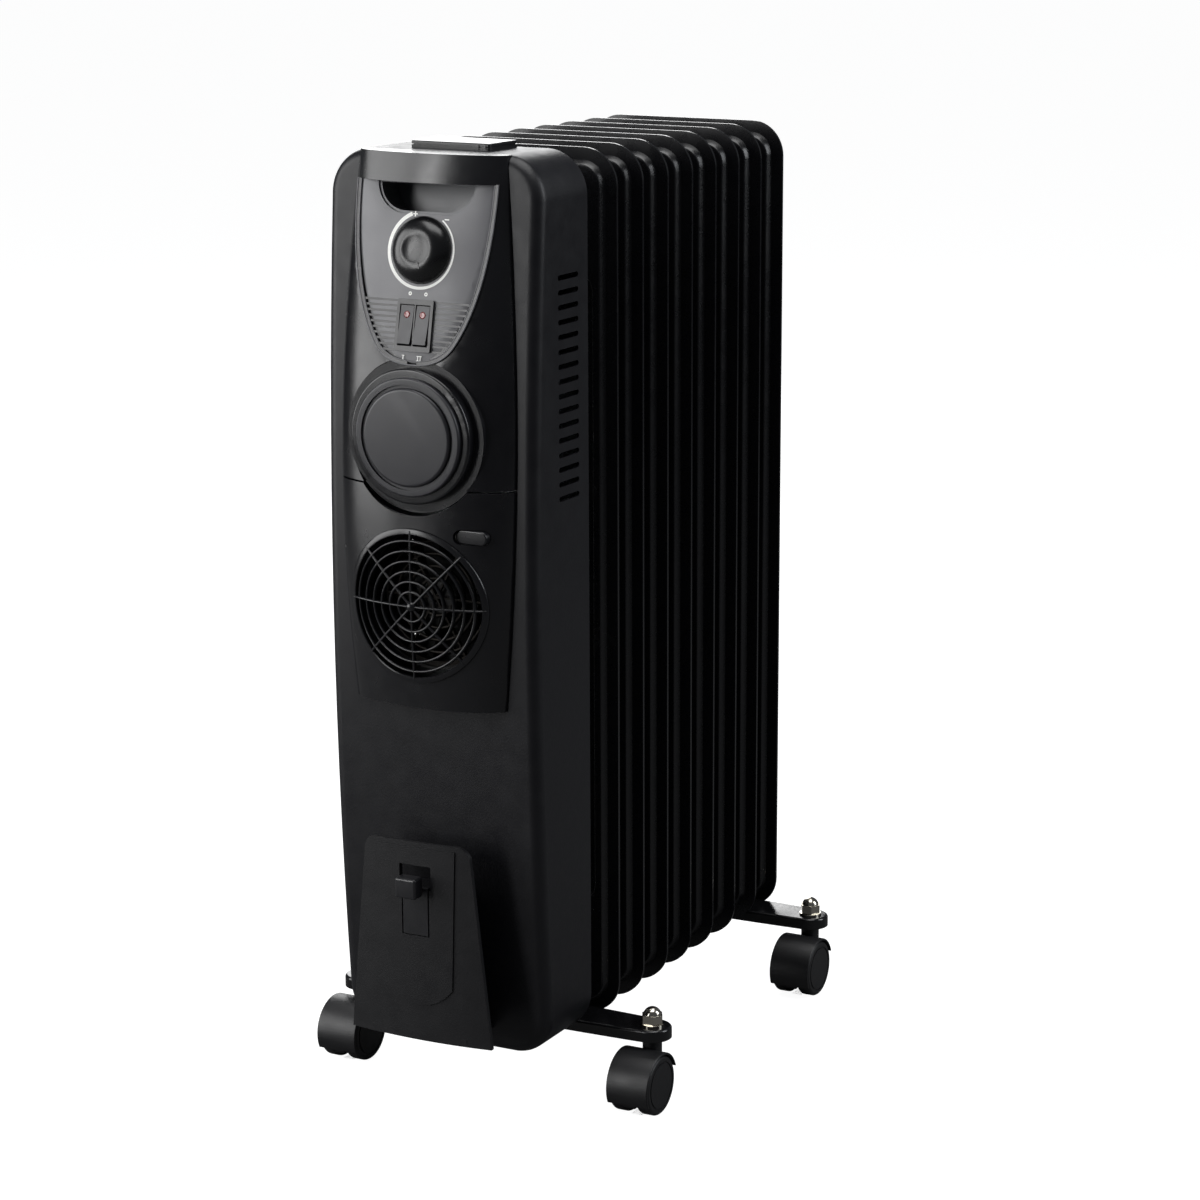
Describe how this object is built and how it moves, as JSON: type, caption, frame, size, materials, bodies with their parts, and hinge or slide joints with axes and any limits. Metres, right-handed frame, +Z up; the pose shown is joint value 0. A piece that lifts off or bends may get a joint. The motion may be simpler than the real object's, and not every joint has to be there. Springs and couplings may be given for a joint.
{
  "type": "oil filled radiator heater",
  "caption": "Free-standing oil filled radiator with pressed steel sections, a front control casing with thermostat, switches and fan outlet, and swivel castors.",
  "frame": {"origin": "on the floor under the middle of the overall footprint", "axes": "+Z up, -Y towards the front panel, +X to the right of a person who faces the front panel"},
  "size_m": [0.2544, 0.4064, 0.6356],
  "materials": {
    "section_paint": "semi-gloss black",
    "casing_paint": "satin black",
    "zinc_sheet": "galvanised",
    "element_steel": "satin",
    "gloss_black": "gloss",
    "satin_grey": "satin",
    "cup_grey": "satin",
    "shaft_steel": "turned",
    "inner_black": "matte",
    "switch_black": "satin",
    "lamp_red": "clear red",
    "duct_white": "matte",
    "coil_wire": "drawn wire",
    "impeller_white": "matte",
    "motor_steel": "zinc plated",
    "bracket_paint": "semi-gloss black",
    "nickel": "polished nickel",
    "zinc_hardware": "zinc plated",
    "castor_nylon": "satin",
    "wheel_nylon": "satin"
  },
  "bodies": {
    "radiator": {"section_1": "section_paint", "section_2": "section_paint", "section_3": "section_paint", "section_4": "section_paint", "section_5": "section_paint", "section_6": "section_paint", "section_7": "section_paint", "section_8": "section_paint", "heating_element": "element_steel", "header_nuts": "zinc_hardware", "heat_shield": "zinc_sheet", "casing": "casing_paint", "carrier_panel": "zinc_sheet", "upper_fascia": "gloss_black", "handle_cup": "cup_grey", "plaque": "satin_grey", "thermostat_body": "inner_black", "switch_body": "switch_black", "timer_blank": "gloss_black", "lower_fascia": "gloss_black", "fan_grille": "gloss_black", "fan_duct": "duct_white", "coil_heater": "coil_wire", "fan_motor": "motor_steel", "cord_tidy": "gloss_black", "top_cover": "switch_black", "tip_switch_body": "inner_black", "thermal_cutout": "inner_black", "cord_gland": "inner_black", "foot_bracket_front": "bracket_paint", "foot_bracket_rear": "bracket_paint", "u_bolts": "zinc_hardware", "wing_nuts": "zinc_hardware", "castor_stems": "zinc_hardware", "cap_nuts": "nickel", "stem_washers": "nickel", "casing_screws": "zinc_hardware"},
    "dial": {"knob": "gloss_black", "thermostat_shaft": "shaft_steel"},
    "switch_left": {"rocker_left": "switch_black", "lamp_left": "lamp_red"},
    "switch_right": {"rocker_right": "switch_black", "lamp_right": "lamp_red"},
    "fan_push": {"fan_button": "switch_black"},
    "fan_rotor": {"impeller": "impeller_white"},
    "clip": {"cord_clip": "gloss_black"},
    "pendulum": {"tip_pendulum": "inner_black"},
    "castor_front_left": {"castor_hood_front_left": "castor_nylon"},
    "roller_front_left_inner": {"wheel_front_left_inner": "wheel_nylon"},
    "roller_front_left_outer": {"wheel_front_left_outer": "wheel_nylon"},
    "castor_front_right": {"castor_hood_front_right": "castor_nylon"},
    "roller_front_right_inner": {"wheel_front_right_inner": "wheel_nylon"},
    "roller_front_right_outer": {"wheel_front_right_outer": "wheel_nylon"},
    "castor_rear_left": {"castor_hood_rear_left": "castor_nylon"},
    "roller_rear_left_inner": {"wheel_rear_left_inner": "wheel_nylon"},
    "roller_rear_left_outer": {"wheel_rear_left_outer": "wheel_nylon"},
    "castor_rear_right": {"castor_hood_rear_right": "castor_nylon"},
    "roller_rear_right_inner": {"wheel_rear_right_inner": "wheel_nylon"},
    "roller_rear_right_outer": {"wheel_rear_right_outer": "wheel_nylon"}
  },
  "joints": [
    {"name": "dial_turn", "type": "hinge", "parent": "radiator", "child": "dial", "pos_m": [0, -0.17568, 0.57261], "axis": [0, -0.9796, 0.2011], "range_deg": [-150, 150]},
    {"name": "rocker_left_tilt", "type": "hinge", "parent": "radiator", "child": "switch_left", "pos_m": [-0.00558, -0.17738, 0.52554], "axis": [1, 0, 0], "range_deg": [0, 14]},
    {"name": "rocker_right_tilt", "type": "hinge", "parent": "radiator", "child": "switch_right", "pos_m": [0.00558, -0.17738, 0.52554], "axis": [1, 0, 0], "range_deg": [0, 14]},
    {"name": "fan_button_press", "type": "slide", "parent": "radiator", "child": "fan_push", "axis": [0, 1, 0], "range_m": [0, 0.0025], "stiffness_N_per_m": 250},
    {"name": "impeller_spin", "type": "hinge", "parent": "radiator", "child": "fan_rotor", "pos_m": [0, -0.15285, 0.3505], "axis": [0, 1, 0], "continuous": true},
    {"name": "clip_flex", "type": "hinge", "parent": "radiator", "child": "clip", "pos_m": [0, -0.18835, 0.135], "axis": [1, 0, 0], "range_deg": [0, 5], "stiffness_Nm_per_rad": 2},
    {"name": "pendulum_swing", "type": "hinge", "parent": "radiator", "child": "pendulum", "pos_m": [-0.034, -0.10805, 0.165], "axis": [0, 1, 0], "range_deg": [-18, 18]},
    {"name": "swivel_front_left", "type": "hinge", "parent": "radiator", "child": "castor_front_left", "pos_m": [-0.112, -0.07785, 0.03], "axis": [0, 0, 1], "continuous": true},
    {"name": "roll_front_left_inner", "type": "hinge", "parent": "castor_front_left", "child": "roller_front_left_inner", "pos_m": [-0.1025, -0.09335, 0.02], "axis": [1, 0, 0], "continuous": true},
    {"name": "roll_front_left_outer", "type": "hinge", "parent": "castor_front_left", "child": "roller_front_left_outer", "pos_m": [-0.1215, -0.09335, 0.02], "axis": [1, 0, 0], "continuous": true},
    {"name": "swivel_front_right", "type": "hinge", "parent": "radiator", "child": "castor_front_right", "pos_m": [0.112, -0.07785, 0.03], "axis": [0, 0, 1], "continuous": true},
    {"name": "roll_front_right_inner", "type": "hinge", "parent": "castor_front_right", "child": "roller_front_right_inner", "pos_m": [0.1025, -0.09335, 0.02], "axis": [1, 0, 0], "continuous": true},
    {"name": "roll_front_right_outer", "type": "hinge", "parent": "castor_front_right", "child": "roller_front_right_outer", "pos_m": [0.1215, -0.09335, 0.02], "axis": [1, 0, 0], "continuous": true},
    {"name": "swivel_rear_left", "type": "hinge", "parent": "radiator", "child": "castor_rear_left", "pos_m": [-0.112, 0.17555, 0.03], "axis": [0, 0, 1], "continuous": true},
    {"name": "roll_rear_left_inner", "type": "hinge", "parent": "castor_rear_left", "child": "roller_rear_left_inner", "pos_m": [-0.1025, 0.16005, 0.02], "axis": [1, 0, 0], "continuous": true},
    {"name": "roll_rear_left_outer", "type": "hinge", "parent": "castor_rear_left", "child": "roller_rear_left_outer", "pos_m": [-0.1215, 0.16005, 0.02], "axis": [1, 0, 0], "continuous": true},
    {"name": "swivel_rear_right", "type": "hinge", "parent": "radiator", "child": "castor_rear_right", "pos_m": [0.112, 0.17555, 0.03], "axis": [0, 0, 1], "continuous": true},
    {"name": "roll_rear_right_inner", "type": "hinge", "parent": "castor_rear_right", "child": "roller_rear_right_inner", "pos_m": [0.1025, 0.16005, 0.02], "axis": [1, 0, 0], "continuous": true},
    {"name": "roll_rear_right_outer", "type": "hinge", "parent": "castor_rear_right", "child": "roller_rear_right_outer", "pos_m": [0.1215, 0.16005, 0.02], "axis": [1, 0, 0], "continuous": true}
  ]
}
